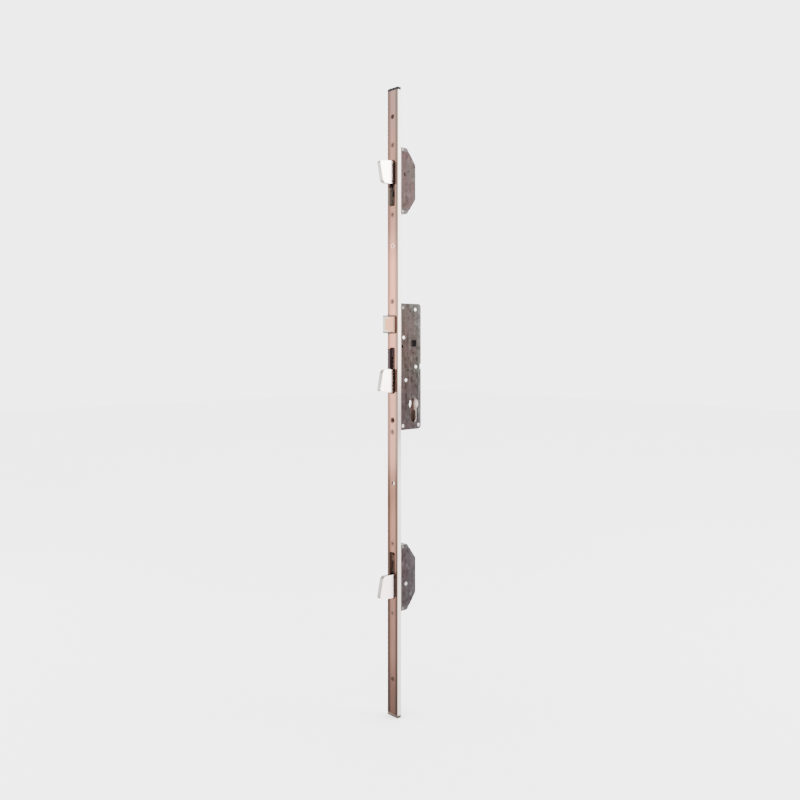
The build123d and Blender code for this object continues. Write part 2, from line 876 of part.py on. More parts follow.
def make_follower():
    hub = pin(0, 0, hub_radius, -half_case, half_case)
    collar = pin(0, 0, collar_radius, side_gap - half_inside, arm_layer[1])
    neck = Pos(0, (arm_length + hub_radius) / 2) * Rectangle(arm_neck, arm_length - hub_radius)
    arm = across(neck + Pos(0, arm_length) * Circle(arm_tip_radius), *arm_layer)
    arm += pin(0, spring_peg_arm, spring_peg_radius, arm_layer[1], arm_layer[1] + spring_peg_height)
    arm = Rot(0, -follower_swing / 2, 0) * arm
    square = spindle_square + 2 * spindle_clearance
    hole = block((-square / 2, square / 2), (-half_case - 1, half_case + 1), (-square / 2, square / 2))
    return hub + collar + arm - hole


def spring_post_x():
    return follower_spring_radius - follower_spring_wire / 2 - spring_seat_gap - spring_post_radius


def make_follower_spring():
    """A torsion spring round the hub, with one leg outside the arm's peg and one leg on the post."""
    wire = follower_spring_wire
    radius = follower_spring_radius
    lower_length = spring_post_drop + spring_post_radius
    leg_line = radius - spring_peg_radius - wire / 2 - spring_seat_gap
    end_angle = 90.0 + follower_swing / 2 - degrees(acos(leg_line / spring_peg_arm))
    turns = follower_spring_full_turns + end_angle / 360.0
    leg_run = lower_length * follower_spring_pitch / (2 * pi * radius)
    print(f"follower_spring least gap {coil_gap(radius, wire, turns, turns * follower_spring_pitch):.2f} mm")
    wound = Helix(pitch=follower_spring_pitch, height=turns * follower_spring_pitch, radius=radius)
    lower = Line(wound @ 0 - (wound % 0) * lower_length, wound @ 0)
    upper = Line(wound @ 1, wound @ 1 + (wound % 1) * follower_spring_leg)
    section = Plane(origin=lower @ 0, z_dir=lower % 0) * Circle(wire / 2)
    spring = sweep(section, path=Wire([lower, wound, upper]))
    return Pos(0, half_inside - side_gap - wire / 2 - leg_run, 0) * Rot(90, 0, 0) * spring


# Places that several pieces share
hook_places = (
    (upper_pivot_z, True),
    (middle_pivot_z, False),
    (lower_pivot_z, False),
)


def all_parts():
    screw_heights = central_screw_heights + upper_screw_heights + lower_screw_heights
    upper = upper_unit_rise
    lower = -lower_unit_drop
    return {
        "faceplate": make_faceplate(),
        "top_end_cap": make_end_cap(strip_above, -1),
        "bottom_end_cap": make_end_cap(-strip_below, 1),
        "screw_spacers": make_screw_spacers(),
        "central_case_body": make_central_body(),
        "central_case_cover": make_central_cover(),
        "central_case_rivets": make_central_rivets(),
        "upper_case_body": make_unit_body(upper, upper_pivot_z, upper_screw_heights),
        "upper_case_cover": make_unit_cover(upper, upper_pivot_z),
        "upper_case_rivets": make_unit_rivets(upper),
        "lower_case_body": make_unit_body(lower, lower_pivot_z, lower_screw_heights),
        "lower_case_cover": make_unit_cover(lower, lower_pivot_z),
        "lower_case_rivets": make_unit_rivets(lower),
        "case_fixing_screws": [make_case_screw(z) for z in screw_heights],
        "upper_hook_bolt": make_hook(upper_pivot_z, True),
        "upper_hook_gear": make_hook_gear(upper_pivot_z),
        "upper_hook_pin": make_hook_pin(upper_pivot_z),
        "middle_hook_bolt": make_hook(middle_pivot_z, False),
        "middle_hook_gear": make_hook_gear(middle_pivot_z),
        "middle_hook_pin": make_hook_pin(middle_pivot_z),
        "lower_hook_bolt": make_hook(lower_pivot_z, False),
        "lower_hook_gear": make_hook_gear(lower_pivot_z),
        "lower_hook_pin": make_hook_pin(lower_pivot_z),
        "drive_wheel": make_drive_wheel(),
        "drive_wheel_axle": make_wheel_axle(),
        "central_slide": make_central_slide(),
        "central_rack": make_central_rack(),
        "upper_drive_bar": make_upper_bar(),
        "upper_hook_rack": make_upper_rack(),
        "lower_drive_bar": make_lower_bar(),
        "lower_hook_rack": make_lower_rack(),
        "bar_couplings": make_couplings(),
        "coupling_rivets": make_coupling_rivets(),
        "bar_guides": make_bar_guides(),
        "latch_head": make_latch_head(),
        "latch_stem": make_latch_stem(),
        "latch_spring": make_latch_spring(),
        "spring_plate": make_spring_plate(),
        "follower": make_follower(),
        "follower_spring": make_follower_spring(),
    }


os.makedirs("parts", exist_ok=True)
for name, shape in all_parts().items():
    if isinstance(shape, list):
        shape = Compound(children=shape)
    export_step(shape, f"parts/{name}.step")
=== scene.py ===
import json
import math
from collections import namedtuple

import bpy
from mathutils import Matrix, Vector


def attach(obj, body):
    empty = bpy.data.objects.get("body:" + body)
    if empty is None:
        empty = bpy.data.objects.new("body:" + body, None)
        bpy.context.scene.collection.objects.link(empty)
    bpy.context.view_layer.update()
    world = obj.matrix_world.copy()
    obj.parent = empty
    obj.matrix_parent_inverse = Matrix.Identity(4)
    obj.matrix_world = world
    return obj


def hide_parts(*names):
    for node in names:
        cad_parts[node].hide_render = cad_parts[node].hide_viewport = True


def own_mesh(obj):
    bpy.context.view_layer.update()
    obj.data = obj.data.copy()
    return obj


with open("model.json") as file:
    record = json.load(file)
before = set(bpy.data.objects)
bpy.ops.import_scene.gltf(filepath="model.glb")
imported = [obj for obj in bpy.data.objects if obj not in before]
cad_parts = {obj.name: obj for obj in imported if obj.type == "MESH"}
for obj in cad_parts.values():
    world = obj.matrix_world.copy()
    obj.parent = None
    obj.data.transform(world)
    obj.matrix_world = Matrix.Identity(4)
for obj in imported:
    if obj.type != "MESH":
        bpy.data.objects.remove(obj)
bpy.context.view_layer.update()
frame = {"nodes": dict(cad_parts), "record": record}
nodes = frame["nodes"]

# Places are in metres from the spindle. The strip's face is at FRONT along X, and with its end caps
# the strip reaches from FOOT to TOP along Z. The near side, on which the camera is, is negative in Y
FRONT = -0.035
FOOT = -0.533
TOP = 0.365


# Nodes of a material


class Graph:
    """A material's node tree with short calls for the nodes that the finishes use."""

    def __init__(self, name):
        self.material = bpy.data.materials.new(name)
        self.material.use_nodes = True
        self.tree = self.material.node_tree
        self.shader = self.tree.nodes["Principled BSDF"]
        self.place = self.tree.nodes.new("ShaderNodeTexCoord").outputs["Object"]

    def link(self, out, into):
        self.tree.links.new(out, into)

    def noise(self, scale, stretch=(1, 1, 1), detail=3.0, roughness=0.55, shift=(0, 0, 0)):
        mapping = self.tree.nodes.new("ShaderNodeMapping")
        mapping.inputs["Scale"].default_value = stretch
        mapping.inputs["Location"].default_value = shift
        self.link(self.place, mapping.inputs["Vector"])
        node = self.tree.nodes.new("ShaderNodeTexNoise")
        node.inputs["Scale"].default_value = scale
        node.inputs["Detail"].default_value = detail
        node.inputs["Roughness"].default_value = roughness
        self.link(mapping.outputs["Vector"], node.inputs["Vector"])
        return node.outputs["Fac"]

    def ramp(self, fac, stops, smooth=False):
        node = self.tree.nodes.new("ShaderNodeValToRGB")
        elements = node.color_ramp.elements
        while len(elements) < len(stops):
            elements.new(0.5)
        for element, (place, colour) in zip(elements, stops):
            element.position = place
            element.color = (*colour, 1)
        if smooth:
            node.color_ramp.interpolation = "EASE"
        self.link(fac, node.inputs["Fac"])
        return node.outputs["Color"]

    def span(self, value, from_low, from_high, to_low=0.0, to_high=1.0):
        node = self.tree.nodes.new("ShaderNodeMapRange")
        node.inputs["From Min"].default_value = from_low
        node.inputs["From Max"].default_value = from_high
        node.inputs["To Min"].default_value = to_low
        node.inputs["To Max"].default_value = to_high
        self.link(value, node.inputs["Value"])
        return node.outputs["Result"]

    def mix(self, fac, first, second, blend="MIX"):
        node = self.tree.nodes.new("ShaderNodeMix")
        node.data_type = "RGBA"
        node.blend_type = blend
        if isinstance(fac, (int, float)):
            node.inputs["Factor"].default_value = fac
        else:
            self.link(fac, node.inputs["Factor"])
        for value, socket in ((first, node.inputs["A"]), (second, node.inputs["B"])):
            if isinstance(value, tuple):
                socket.default_value = (*value, 1)
            else:
                self.link(value, socket)
        return node.outputs["Result"]

    def tint(self, colour, by, fac=1.0):
        """The colour multiplied by another one, as far as fac says."""
        return self.mix(fac, colour, by, "MULTIPLY")

    def math(self, operation, first, second=0.0):
        node = self.tree.nodes.new("ShaderNodeMath")
        node.operation = operation
        for value, socket in ((first, node.inputs[0]), (second, node.inputs[1])):
            if isinstance(value, (int, float)):
                socket.default_value = value
            else:
                self.link(value, socket)
        return node.outputs[0]

    def times(self, first, *others):
        """The product of masks and numbers."""
        result = first
        for factor in others:
            result = self.math("MULTIPLY", result, factor)
        return result

    def along(self, axis):
        """The place along one axis of the object, in metres."""
        node = self.tree.nodes.new("ShaderNodeSeparateXYZ")
        self.link(self.place, node.inputs["Vector"])
        return node.outputs[axis]

    def rise(self, axis, start, end, most=1.0):
        """A mask that goes from 0 at one place along an axis to its most at another."""
        return self.span(self.along(axis), start, end, 0.0, most)

    def between(self, axis, low, high, soft=0.0001):
        """1 where the place along an axis is between two values, with soft ends."""
        place = self.along(axis)
        upward = self.span(place, low - soft, low + soft)
        downward = self.span(place, high - soft, high + soft, 1.0, 0.0)
        return self.times(upward, downward)

    def facing(self, axis):
        """How far the surface faces along one axis of the object, whichever way."""
        node = self.tree.nodes.new("ShaderNodeSeparateXYZ")
        coordinates = self.tree.nodes.new("ShaderNodeTexCoord")
        self.link(coordinates.outputs["Normal"], node.inputs["Vector"])
        return self.math("ABSOLUTE", node.outputs[axis])

    def faces(self, axis, low=0.3, high=0.6, most=1.0):
        """A mask of the surfaces that face along an axis."""
        return self.span(self.facing(axis), low, high, 0.0, most)

    def edges_of(self, axis, low=0.3, high=0.6):
        """A mask of the surfaces that don't face along an axis."""
        return self.span(self.facing(axis), low, high, 1.0, 0.0)

    def rounded(self, radius):
        """The surface's normal, rounded at its edges."""
        node = self.tree.nodes.new("ShaderNodeBevel")
        node.samples = 4
        node.inputs["Radius"].default_value = radius
        return node.outputs["Normal"]

    def sharp(self, rounded):
        """A mask that is 1 along the edges, where the rounded normal leaves the surface's own."""
        flat = self.tree.nodes.new("ShaderNodeNewGeometry")
        dot = self.tree.nodes.new("ShaderNodeVectorMath")
        dot.operation = "DOT_PRODUCT"
        self.link(rounded, dot.inputs[0])
        self.link(flat.outputs["Normal"], dot.inputs[1])
        return self.span(dot.outputs["Value"], 0.995, 0.9)

    def bump(self, height, strength, distance, normal):
        node = self.tree.nodes.new("ShaderNodeBump")
        node.inputs["Strength"].default_value = strength
        node.inputs["Distance"].default_value = distance
        self.link(height, node.inputs["Height"])
        self.link(normal, node.inputs["Normal"])
        return node.outputs["Normal"]


# The two kinds of material

GRAIN_STRETCH = {"X": (0.04, 1, 1), "Y": (1, 0.04, 1), "Z": (1, 1, 0.012)}
GRAIN_SCALE = 900.0
GRAIN_HEIGHT = 0.00006
SCUFF_SCALE = 240.0
DULL_ROUGHNESS = 0.9
GRIT_SCALE = 1800.0
GRIT_HEIGHT = 0.00005
PLASTIC_SPECULAR = 0.12


def metal(name, dark, light, worn, rough, grain_axis="Z", grain=0.5, mottle=60.0, metallic=1.0,
          radius=0.0003, wear=0.6, gradient=None, bump=0.12, extra=None, bare=None, dull=None):
    """A brushed or plated metal with grain lines along one axis, faint mottling and worn edges.

    A gradient holds colour stops of painted light and shade that multiply the tone from the strip's
    foot to its top. An extra function takes the graph and the colour, and returns the colour with
    its own marks on it. A bare function returns a mask of where the surface isn't metallic, and a
    dull one a mask of where it is rough.
    """
    graph = Graph(name)
    lines = graph.noise(GRAIN_SCALE, GRAIN_STRETCH[grain_axis], detail=4.0)
    cloud = graph.noise(mottle, (1, 1, 0.35), detail=5.0, shift=(3.1, 1.7, 0.4))
    tone = graph.math("ADD", graph.times(lines, grain), graph.times(cloud, 1.0 - grain))
    colour = graph.ramp(tone, [(0.34, dark), (0.66, light)])
    if gradient:
        colour = graph.tint(colour, graph.ramp(graph.rise("Z", FOOT, TOP), gradient, smooth=True))
    normal = graph.rounded(radius)
    scuffs = graph.span(graph.noise(SCUFF_SCALE, detail=4.0), 0.42, 0.6, 0.15, wear)
    colour = graph.mix(graph.times(graph.sharp(normal), scuffs), colour, worn)
    if extra:
        colour = extra(graph, colour)
    graph.link(colour, graph.shader.inputs["Base Color"])
    roughness = graph.span(tone, 0.3, 0.7, *rough)
    if dull:
        roughness = graph.math("MAXIMUM", roughness, graph.times(dull(graph), DULL_ROUGHNESS))
    graph.link(roughness, graph.shader.inputs["Roughness"])
    graph.link(graph.bump(lines, bump, GRAIN_HEIGHT, normal), graph.shader.inputs["Normal"])
    if bare:
        graph.link(graph.span(bare(graph), 0.0, 1.0, metallic, 0.0), graph.shader.inputs["Metallic"])
    else:
        graph.shader.inputs["Metallic"].default_value = metallic
    return graph.material


def plastic(name, dark, light, rough, extra):
    """A finely grained moulded plastic, on which an extra function draws its own marks."""
    graph = Graph(name)
    grit = graph.noise(GRIT_SCALE, detail=2.0)
    cloud = graph.noise(90.0, detail=3.0)
    colour = graph.ramp(cloud, [(0.35, dark), (0.65, light)])
    graph.link(extra(graph, colour), graph.shader.inputs["Base Color"])
    graph.link(graph.span(cloud, 0.3, 0.7, *rough), graph.shader.inputs["Roughness"])
    graph.link(graph.bump(grit, 0.25, GRIT_HEIGHT, graph.rounded(0.0004)), graph.shader.inputs["Normal"])
    graph.shader.inputs["Specular IOR Level"].default_value = PLASTIC_SPECULAR
    return graph.material


# Painted shade on the strip's face beside the slots, and dark tones in the slots and behind them

# A stretch of a slot or a hole: its heights, how far along Y the painted shade reaches on the
# strip's face, if there is any, and the tones of the painted shade on the face and of the inside
Stretch = namedtuple("Stretch", "low high reach face inside")

STRETCHES = (
    Stretch(0.1962, 0.2232, 0.0083, (0.060, 0.047, 0.039), (0.150, 0.118, 0.098)),
    Stretch(0.2232, 0.2275, 0.0086, (0.016, 0.0100, 0.0095), (0.030, 0.019, 0.018)),
    Stretch(-0.0372, -0.0072, 0.0101, (0.0125, 0.0074, 0.0078), (0.042, 0.025, 0.027)),
    Stretch(-0.3300, -0.2990, 0.0068, (0.0260, 0.0150, 0.0115), (0.082, 0.048, 0.037)),
    Stretch(-0.1150, -0.1050, None, None, (0.170, 0.098, 0.080)),
)

# Along Y: both sides of the slots, and the inside of the channel
SLOT_NEAR = -0.0052
SLOT_FAR = 0.0060
IN_CHANNEL = (-0.0094, 0.0094)

# Along X: the strip's face, and how far behind it the marks in the slots and in the holes go
BEHIND_FACE = FRONT + 0.0003
ON_FACE = (FRONT - 0.0004, BEHIND_FACE)
IN_SLOT = (BEHIND_FACE, FRONT + 0.0072)
IN_HOLE = (BEHIND_FACE, FRONT + 0.0060)


def slot_masks(graph):
    """Masks and tones of painted shade beside the hook slots and of the insides of the slots and the
    cylinder's screw hole.
    """
    for stretch in STRETCHES:
        if stretch.reach is not None:
            heights = graph.between("Z", stretch.low + 0.0002, stretch.high - 0.0002, 0.0010)
            across = graph.between("Y", SLOT_NEAR, stretch.reach, 0.0007)
            yield graph.times(heights, graph.between("X", *ON_FACE, 0.00005), across), stretch.face
        heights = graph.between("Z", stretch.low, stretch.high, 0.0003)
        across = graph.between("Y", SLOT_NEAR, SLOT_FAR, 0.0003)
        yield graph.times(heights, graph.between("X", *IN_SLOT, 0.00005), across), stretch.inside


# Painted shade on the strip's face beside the slots, and the dark tones inside them
def slot_shade_and_tones(graph, colour):
    for mask, tone in slot_masks(graph):
        colour = graph.mix(mask, colour, tone)
    return colour


def hole_walls(graph):
    """A mask of what lies in the channel close behind the strip's face."""
    return graph.times(graph.between("X", *IN_HOLE), graph.between("Y", *IN_CHANNEL))


def matt_grease(graph):
    """A mask of the drive bar's places in the channel and in the slots."""
    result = hole_walls(graph)
    for mask, _ in slot_masks(graph):
        result = graph.math("MAXIMUM", result, mask)
    return result


# Other marks of the strip

# Along Y: the painted shade at both bends, and the outer sides of the flanges, which get painted light
FAR_BEND = (0.0026, 0.0066)
NEAR_BEND = (-0.0042, -0.0082)
FLANGE = (0.0105, 0.0109)

# Along Z: where the painted shade of the bends and the painted light on the flanges change
BEND_FADE = (-0.26, -0.12)
FLANGE_FADE = (-0.15, 0.0)

# Each bolt with the place of its near side, and the strength and tone of the painted shade beside it
BROWN_SHADE = (0.016, 0.0115, 0.0110)
PURPLE_SHADE = (0.022, 0.0185, 0.0195)
BOLTS = (
    ("latch_head", -0.0063, 0.60, BROWN_SHADE),
    ("upper_hook_bolt", SLOT_NEAR, 0.86, PURPLE_SHADE),
    ("middle_hook_bolt", SLOT_NEAR, 0.76, BROWN_SHADE),
    ("lower_hook_bolt", SLOT_NEAR, 0.78, BROWN_SHADE),
)
SHADE_START = -0.0082

# The spots above and below the latch
SPOT_OFFSET = 0.0006
SPOT_HALF = 0.0016
SPOT_ACROSS = (0.0062, 0.0104)
SPOT_TONE = (0.014, 0.011, 0.010)

# The tone of the holes' walls, and the heights and tones of the painted light on the walls of the
# two holes that light falls through
WALL_TONE = (0.105, 0.066, 0.056)
LIT_HOLES = (
    (0.1345, 0.1465, (0.86, 0.58, 0.49)),
    (-0.2056, -0.1936, (0.33, 0.205, 0.17)),
)


def thrown_span(name):
    """The heights between which a bolt stands out of the strip."""
    heights = [vertex.co.z for vertex in nodes[name].data.vertices if vertex.co.x < FRONT]
    return min(heights), max(heights)


def shaded_bends(graph, colour):
    """Painted shade towards the far and the near bend, deeper in the strip's lower part."""
    height = graph.rise("Z", *BEND_FADE)
    far = graph.ramp(height, [(0.0, (0.27, 0.26, 0.25)), (1.0, (0.48, 0.49, 0.50))])
    near = graph.ramp(height, [(0.0, (0.30, 0.36, 0.38)), (1.0, (0.40, 0.55, 0.60))])
    colour = graph.tint(colour, far, graph.rise("Y", *FAR_BEND))
    return graph.tint(colour, near, graph.rise("Y", *NEAR_BEND))


def bolt_shade(graph, colour):
    """Painted shade beside each bolt, and dark spots above and below the latch by the far bend."""
    for name, near_side, strength, tone in BOLTS:
        low, high = thrown_span(name)
        across = graph.between("Y", SHADE_START, near_side, 0.0005)
        colour = graph.mix(graph.times(graph.between("Z", low, high, 0.0008), across, strength), colour, tone)
    low, high = thrown_span("latch_head")
    for middle in (low - SPOT_OFFSET, high + SPOT_OFFSET):
        heights = graph.between("Z", middle - SPOT_HALF, middle + SPOT_HALF, 0.0005)
        spot = graph.times(heights, graph.between("Y", *SPOT_ACROSS, 0.0005), 0.85)
        colour = graph.mix(spot, colour, SPOT_TONE)
    return colour


def strip_marks(graph, colour):
    """Painted shade at the bends, by the bolts and beside the slots, dark tones inside the slots, dull
    hole walls with painted light in two of them, and painted light on the side flanges.
    """
    colour = bolt_shade(graph, shaded_bends(graph, colour))
    wall = WALL_TONE
    # Painted light on the walls of the two holes that light falls through
    for low, high, tone in LIT_HOLES:
        wall = graph.mix(graph.between("Z", low, high), wall, tone)
    colour = slot_shade_and_tones(graph, graph.mix(hole_walls(graph), colour, wall))
    # Painted light on the outer sides of the flanges, brighter towards the foot
    side = graph.span(graph.math("ABSOLUTE", graph.along("Y")), *FLANGE)
    flange = graph.ramp(graph.rise("Z", *FLANGE_FADE), [
        (0.0, (0.50, 0.44, 0.40)),
        (0.2, (0.38, 0.29, 0.28)),
        (0.75, (0.37, 0.31, 0.27)),
        (1.0, (0.33, 0.285, 0.25)),
    ])
    return graph.mix(side, colour, flange)


# Marks of the cases

# Along Z: the central case and where its tones change, where the lower case's cold tone sets in,
# the cylinder hole and its round part, and the greyer ends of the cases
CENTRAL_CASE = (-0.130, 0.062)
CENTRAL_FADE = (-0.125, 0.058)
LOWER_CASE = (-0.20, -0.25)
CYLINDER_HOLE = (-0.1190, -0.0750)
CYLINDER_ROUND = (-0.0980, -0.0785)
CASE_ENDS = (
    (0.0560, 0.0580),
    (0.1855, 0.1925),
    (0.2750, 0.2815),
    (-0.2950, -0.2880),
    (-0.3840, -0.3775),
)

# Along Y: the cover, and the inner face of the far side plate
COVER = (-0.0074, -0.0061)
FAR_PLATE = (0.0055, 0.0066)

# Along X: the cases from front to back, the back wall's inner face, and where the part of the far
# plate starts that shows through the strip's slots
CASE_DEPTH = (-0.029, 0.014)
BACK_WALL = (0.0124, 0.0136)
BEHIND_SLOTS = (-0.0060, -0.0070)


def stains(graph, colour):
    """Dark stains of handling and oil, paler spots and a faint cast of other hues."""
    blot = graph.noise(170.0, (1, 1, 0.7), detail=6.0, roughness=0.7, shift=(0.7, 2.9, 5.3))
    colour = graph.mix(graph.span(blot, 0.49, 0.62, 0.0, 0.9), colour, (0.0135, 0.0085, 0.0080))
    pale = graph.noise(120.0, (1, 1, 0.8), detail=5.0, roughness=0.65, shift=(6.2, 0.4, 3.3))
    colour = graph.mix(graph.span(pale, 0.54, 0.66, 0.0, 0.5), colour, (0.056, 0.052, 0.047))
    cast = graph.noise(34.0, detail=2.0, shift=(2.2, 5.1, 0.9))
    return graph.tint(colour, graph.ramp(cast, [(0.40, (0.96, 1.01, 0.98)), (0.62, (1.05, 0.95, 0.99))]))


def case_levels(graph, colour):
    """Tones that change along the central case, and a colder tone for the lower case."""
    level = graph.ramp(graph.rise("Z", *CENTRAL_FADE), [
        (0.0, (0.84, 0.90, 0.98)),
        (0.33, (0.72, 0.72, 0.74)),
        (0.60, (0.80, 0.84, 0.76)),
        (1.0, (0.90, 1.02, 0.99)),
    ])
    colour = graph.tint(colour, level, graph.between("Z", *CENTRAL_CASE))
    return graph.tint(colour, (1.05, 1.20, 1.38), graph.rise("Z", *LOWER_CASE))


def inner_face(graph):
    """The matt inner face of the far side plate, seen through the openings."""
    return graph.times(graph.between("Y", *FAR_PLATE), graph.faces("Y"))


def inner_back(graph):
    """The bare inner face of the back wall level with the cylinder hole, where the light falls in."""
    return graph.times(graph.between("X", *BACK_WALL), graph.between("Z", *CYLINDER_HOLE), graph.faces("X"))


def matt_inside(graph):
    return graph.math("MAXIMUM", inner_face(graph), inner_back(graph))


def case_marks(graph, colour):
    """Stains, faint streaks, a paler back edge, greyer ends, bright cut edges, a matt inside and
    painted light on the back wall in the cylinder hole's round part.
    """
    colour = case_levels(graph, stains(graph, colour))
    streak = graph.noise(520.0, (1, 1, 0.02), detail=3.0, shift=(4.1, 0.3, 1.9))
    colour = graph.mix(graph.span(streak, 0.52, 0.72, 0.0, 0.34), colour, (0.066, 0.057, 0.058))
    backward = graph.ramp(graph.rise("X", *CASE_DEPTH), [
        (0.1, (0.92, 0.80, 0.79)),
        (0.77, (1.02, 1.05, 1.04)),
        (0.84, (0.84, 1.04, 1.06)),
        (1.0, (1.80, 1.98, 2.02)),
    ])
    colour = graph.tint(colour, backward)
    for low, high in CASE_ENDS:
        end = graph.times(graph.between("Z", low, high, 0.0015), 0.45)
        colour = graph.mix(end, colour, (0.052, 0.051, 0.050))
    cut = graph.times(graph.between("Y", *COVER), graph.edges_of("Y"))
    colour = graph.mix(cut, colour, (0.42, 0.37, 0.34))
    plate_tone = graph.mix(graph.rise("X", *BEHIND_SLOTS), (0.105, 0.062, 0.047), (0.27, 0.170, 0.136))
    colour = graph.mix(inner_face(graph), colour, plate_tone)
    round_part = graph.between("Z", *CYLINDER_ROUND, 0.0006)
    # Painted light on the back wall's inner face in the cylinder hole's round part
    back_painted_light = graph.mix(round_part, (0.13, 0.082, 0.064), (0.66, 0.50, 0.44))
    return graph.mix(inner_back(graph), colour, back_painted_light)


# Marks of the hook bolts and the latch

# Along Z: heights that hold the lower hook alone, and how far the latch's worn corners reach in
# from its upper and lower side
LOWER_HOOK = (-0.40, -0.28)
CORNER_INSET = (0.0052, 0.0038)

# Along X: the roots of the hooks and of the latch, and the latch's nose, corners and chamfers
HOOK_ROOT = (FRONT - 0.0022, FRONT - 0.0014)
LATCH_ROOT = (FRONT - 0.0028, FRONT - 0.0014)
LATCH_NOSE = (FRONT - 0.0114, FRONT - 0.0120)
LATCH_CORNERS = (FRONT - 0.0070, FRONT - 0.0090)
CHAMFER_FADE = (FRONT - 0.0100, FRONT - 0.0050)


def dull_cut_edges(graph, colour):
    """Leaves the ground sides of a hook bright, makes its cut edges duller and darkens its root with painted
    shade and grease.
    """
    tone = graph.mix(graph.between("Z", *LOWER_HOOK), (0.155, 0.144, 0.134), (0.112, 0.100, 0.094))
    colour = graph.mix(graph.edges_of("Y", 0.3, 0.7), colour, tone)
    # Painted shade and grease on the root by the strip
    return graph.mix(graph.rise("X", *HOOK_ROOT, 0.96), colour, (0.024, 0.0165, 0.0160))


def matt_low_hook(graph):
    """The matt ground sides of the lower hook."""
    return graph.times(graph.between("Z", *LOWER_HOOK), graph.faces("Y", 0.3, 0.7, 0.95))


def latch_marks(graph, colour):
    """A pale worn nose and corners, dark chamfers above and below the bevel, and a brown root of painted
    shade and grease.
    """
    low, high = thrown_span("latch_head")
    middle, half = (low + high) / 2, (high - low) / 2
    height = graph.math("ABSOLUTE", graph.math("SUBTRACT", graph.along("Z"), middle))
    start, end = (half - inset for inset in CORNER_INSET)
    corner = graph.times(graph.span(height, start, end, 0.0, 0.8), graph.rise("X", *LATCH_CORNERS))
    colour = graph.mix(corner, colour, (0.46, 0.42, 0.34))
    colour = graph.mix(graph.rise("X", *LATCH_NOSE), colour, (0.36, 0.37, 0.295))
    chamfer = graph.ramp(graph.rise("X", *CHAMFER_FADE), [
        (0.0, (0.13, 0.12, 0.11)),
        (1.0, (0.028, 0.024, 0.021)),
    ])
    colour = graph.mix(graph.faces("Z"), colour, chamfer)
    # Painted shade and grease on the root by the slot
    return graph.mix(graph.rise("X", *LATCH_ROOT, 0.9), colour, (0.130, 0.078, 0.062))


# Marks of the small pieces

# Along X and Z: the spindle square with its rim
SQUARE = (-0.0048, 0.0048)

# Along Z: the upper hook's pin and the rivets at the cases' ends
UPPER_HOOK_PIN = (0.2360, 0.2500)
END_RIVETS = (
    (0.1855, 0.1925),
    (0.2740, 0.2815),
    (-0.2955, -0.2880),
    (-0.3840, -0.3765),
)

# The central case's top rivet by the strip, along Z and along X
CORNER_RIVET_HEIGHTS = (0.0470, 0.0550)
CORNER_RIVET_DEPTHS = (-0.0260, -0.0180)

# Along Z: the screw spacers, and where the lower end cap turns browner. Along Y: where its tone changes
SPACERS = ((0.300, 0.345), (-0.500, -0.460))
LOWER_CAP = (-0.520, -0.522)
CAP_FADE = (-0.007, 0.003)


def dark_square(graph, colour):
    """Painted shade in the inside and on the rim of the spindle square."""
    # Painted shade in and around the square
    square = graph.times(graph.between("X", *SQUARE, 0.0003), graph.between("Z", *SQUARE, 0.0003))
    return graph.mix(square, colour, (0.006, 0.0045, 0.0043))


def stained_rivets(graph, colour):
    """The upper hook's pin, as dark as its case, and the duller rivets at the cases' ends."""
    colour = graph.mix(graph.between("Z", *UPPER_HOOK_PIN), colour, (0.016, 0.0115, 0.0110))
    for low, high in END_RIVETS:
        colour = graph.mix(graph.between("Z", low, high), colour, (0.085, 0.080, 0.077))
    corner = graph.times(graph.between("Z", *CORNER_RIVET_HEIGHTS), graph.between("X", *CORNER_RIVET_DEPTHS))
    return graph.mix(corner, colour, (0.065, 0.060, 0.055))


def stained_axle(graph, colour):
    """The wheel axle's flush ends, which are as dark as the stains of the case."""
    return graph.mix(graph.faces("Y", 0.5, 0.8), colour, (0.012, 0.008, 0.0075))


def greasy_plastic(graph, colour):
    """Brown grease on the spacers behind the outermost screw holes, and the browner lower end cap."""
    for low, high in SPACERS:
        colour = graph.mix(graph.between("Z", low, high), colour, (0.050, 0.021, 0.012))
    cap_tone = graph.mix(graph.rise("Y", *CAP_FADE), (0.034, 0.027, 0.023), (0.066, 0.045, 0.034))
    return graph.mix(graph.rise("Z", *LOWER_CAP), colour, cap_tone)


# The strip: coppery steel, with painted light and shade that change its tone with the height

# Painted reflections and shade along the strip's height, with a painted highlight band near 0.77
STRIP_PAINTED_LIGHT = [
    (0.026, (0.42, 0.44, 0.45)),
    (0.11, (0.72, 0.75, 0.77)),
    (0.32, (1.02, 1.02, 0.96)),
    (0.42, (0.88, 0.88, 0.88)),
    (0.66, (1.20, 1.05, 0.99)),
    (0.735, (1.20, 1.06, 1.01)),
    (0.768, (1.66, 1.68, 1.68)),
    (0.86, (1.32, 1.34, 1.34)),
    (1.0, (1.20, 1.45, 1.66)),
]
strip_steel = metal(
    "strip_steel", (0.136, 0.064, 0.046), (0.172, 0.084, 0.061), (0.23, 0.17, 0.14), (0.11, 0.16),
    grain=0.45, mottle=28.0, wear=0.35, gradient=STRIP_PAINTED_LIGHT, bump=0.04,
    extra=strip_marks, dull=hole_walls,
)

# The case plates and the spring plate: dark stained steel

case_steel = metal(
    "case_steel", (0.024, 0.0165, 0.0155), (0.037, 0.0275, 0.0265), (0.014, 0.0105, 0.010), (0.36, 0.48),
    grain=0.6, mottle=45.0, radius=0.0007, wear=0.85, bump=0.16, extra=case_marks, bare=matt_inside,
)

# The hook bolts: bright ground steel

hook_steel = metal(
    "hook_steel", (0.88, 0.74, 0.70), (0.95, 0.81, 0.77), (0.90, 0.78, 0.74), (0.22, 0.25),
    grain_axis="X", grain=0.4, mottle=50.0, radius=0.0004, wear=0.4, bump=0.01,
    extra=dull_cut_edges, bare=matt_low_hook,
)

